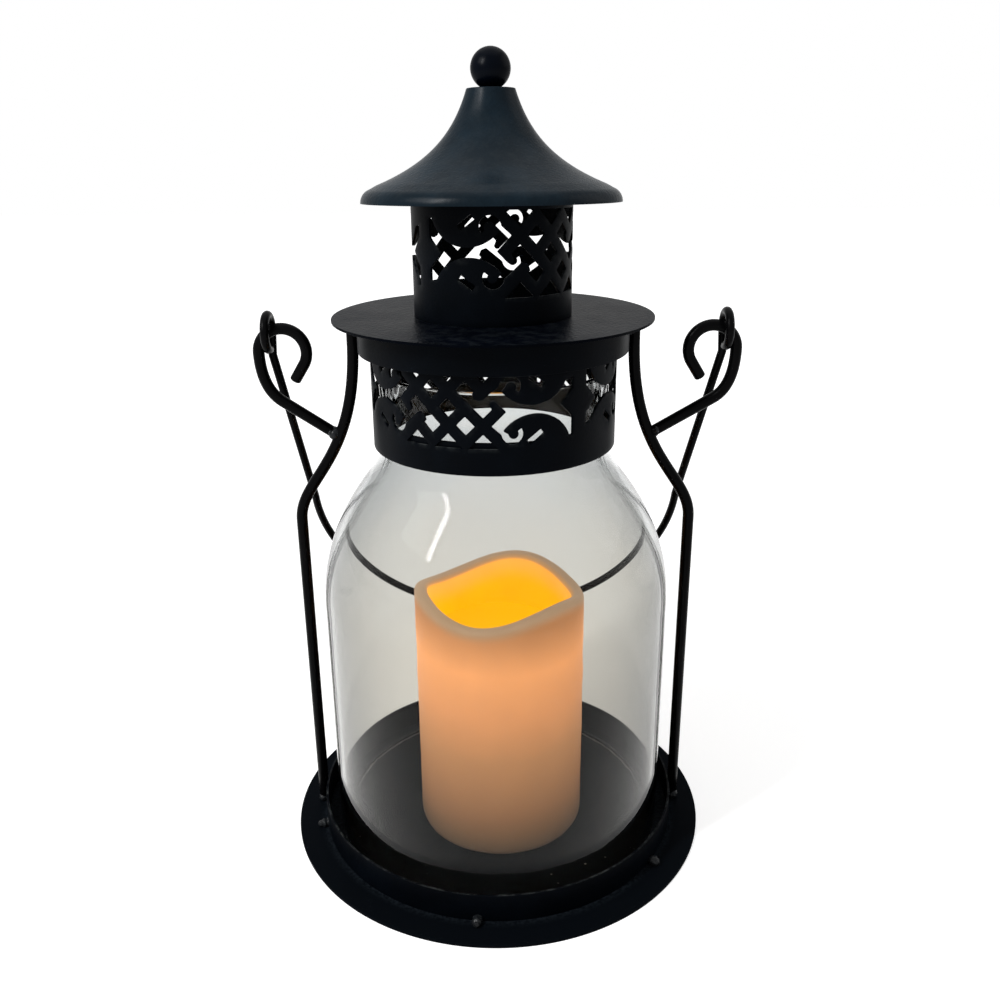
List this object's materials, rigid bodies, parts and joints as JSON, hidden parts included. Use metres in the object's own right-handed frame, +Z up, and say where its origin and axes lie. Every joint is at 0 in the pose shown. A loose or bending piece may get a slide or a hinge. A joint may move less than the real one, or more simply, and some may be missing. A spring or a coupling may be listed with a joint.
{
  "type": "hurricane lantern",
  "caption": "Round candle lantern with a glass jar in a bent-rod cage, fretwork collar and lift-off roof, swinging wire bail and a battery candle inside.",
  "frame": {"origin": "on the table, under the middle of the base plate", "axes": "+Z up; -Y the front of the lantern; X from one scroll hook to the other"},
  "size_m": [0.2005, 0.189, 0.3345],
  "materials": {
    "black_steel": "satin",
    "clear_glass": "polished",
    "bare_steel": "plated",
    "wax": "waxy",
    "core_plastic": "moulded",
    "glow_diffuser": "frosted",
    "lamp_lens": "clear",
    "circuit_board": "lacquered",
    "cell_jacket": "gloss",
    "switch_plastic": "moulded"
  },
  "bodies": {
    "cage": {"base_plate": "black_steel", "gallery_ring": "black_steel", "ring_tack_welds": "black_steel", "left_side_rod": "black_steel", "right_side_rod": "black_steel", "left_scroll_hook": "black_steel", "right_scroll_hook": "black_steel", "rod_welds": "black_steel", "glass_jar": "clear_glass", "neck_hoop": "black_steel", "fret_collar": "black_steel", "rim_hoop": "black_steel"},
    "lid": {"canopy_disc": "black_steel", "lid_spigot": "black_steel", "chimney_fret": "black_steel", "roof_cap": "black_steel", "finial_ball": "black_steel", "finial_stud": "bare_steel", "finial_nut": "bare_steel"},
    "bail": {"bail_handle": "black_steel"},
    "candle": {"wax_shell": "wax", "candle_core": "core_plastic", "battery_sleeve": "core_plastic", "led_diffuser": "glow_diffuser", "led_lamp": "lamp_lens", "led_board": "circuit_board", "battery_cells": "cell_jacket", "battery_contacts": "bare_steel", "switch_body": "switch_plastic"},
    "switch": {"switch_slider": "switch_plastic"},
    "cover": {"battery_cover": "core_plastic", "bridge_contact": "bare_steel"}
  },
  "joints": [
    {"name": "bail_swing", "type": "hinge", "parent": "cage", "child": "bail", "pos_m": [0, 0, 0.22871], "axis": [1, 0, 0], "range_deg": [0, 309.2]},
    {"name": "lid_lift", "type": "slide", "parent": "cage", "child": "lid", "axis": [0, 0, 1], "range_m": [0, 0.06]},
    {"name": "candle_lift", "type": "slide", "parent": "cage", "child": "candle", "axis": [0, 0, 1], "range_m": [0, 0.1]},
    {"name": "switch_slide", "type": "slide", "parent": "candle", "child": "switch", "axis": [0, 1, 0], "range_m": [0, 0.003]},
    {"name": "cover_turn", "type": "hinge", "parent": "candle", "child": "cover", "pos_m": [0.0015, -0.005, 0.003], "axis": [0, 0, 1], "range_deg": [0, 30]}
  ]
}
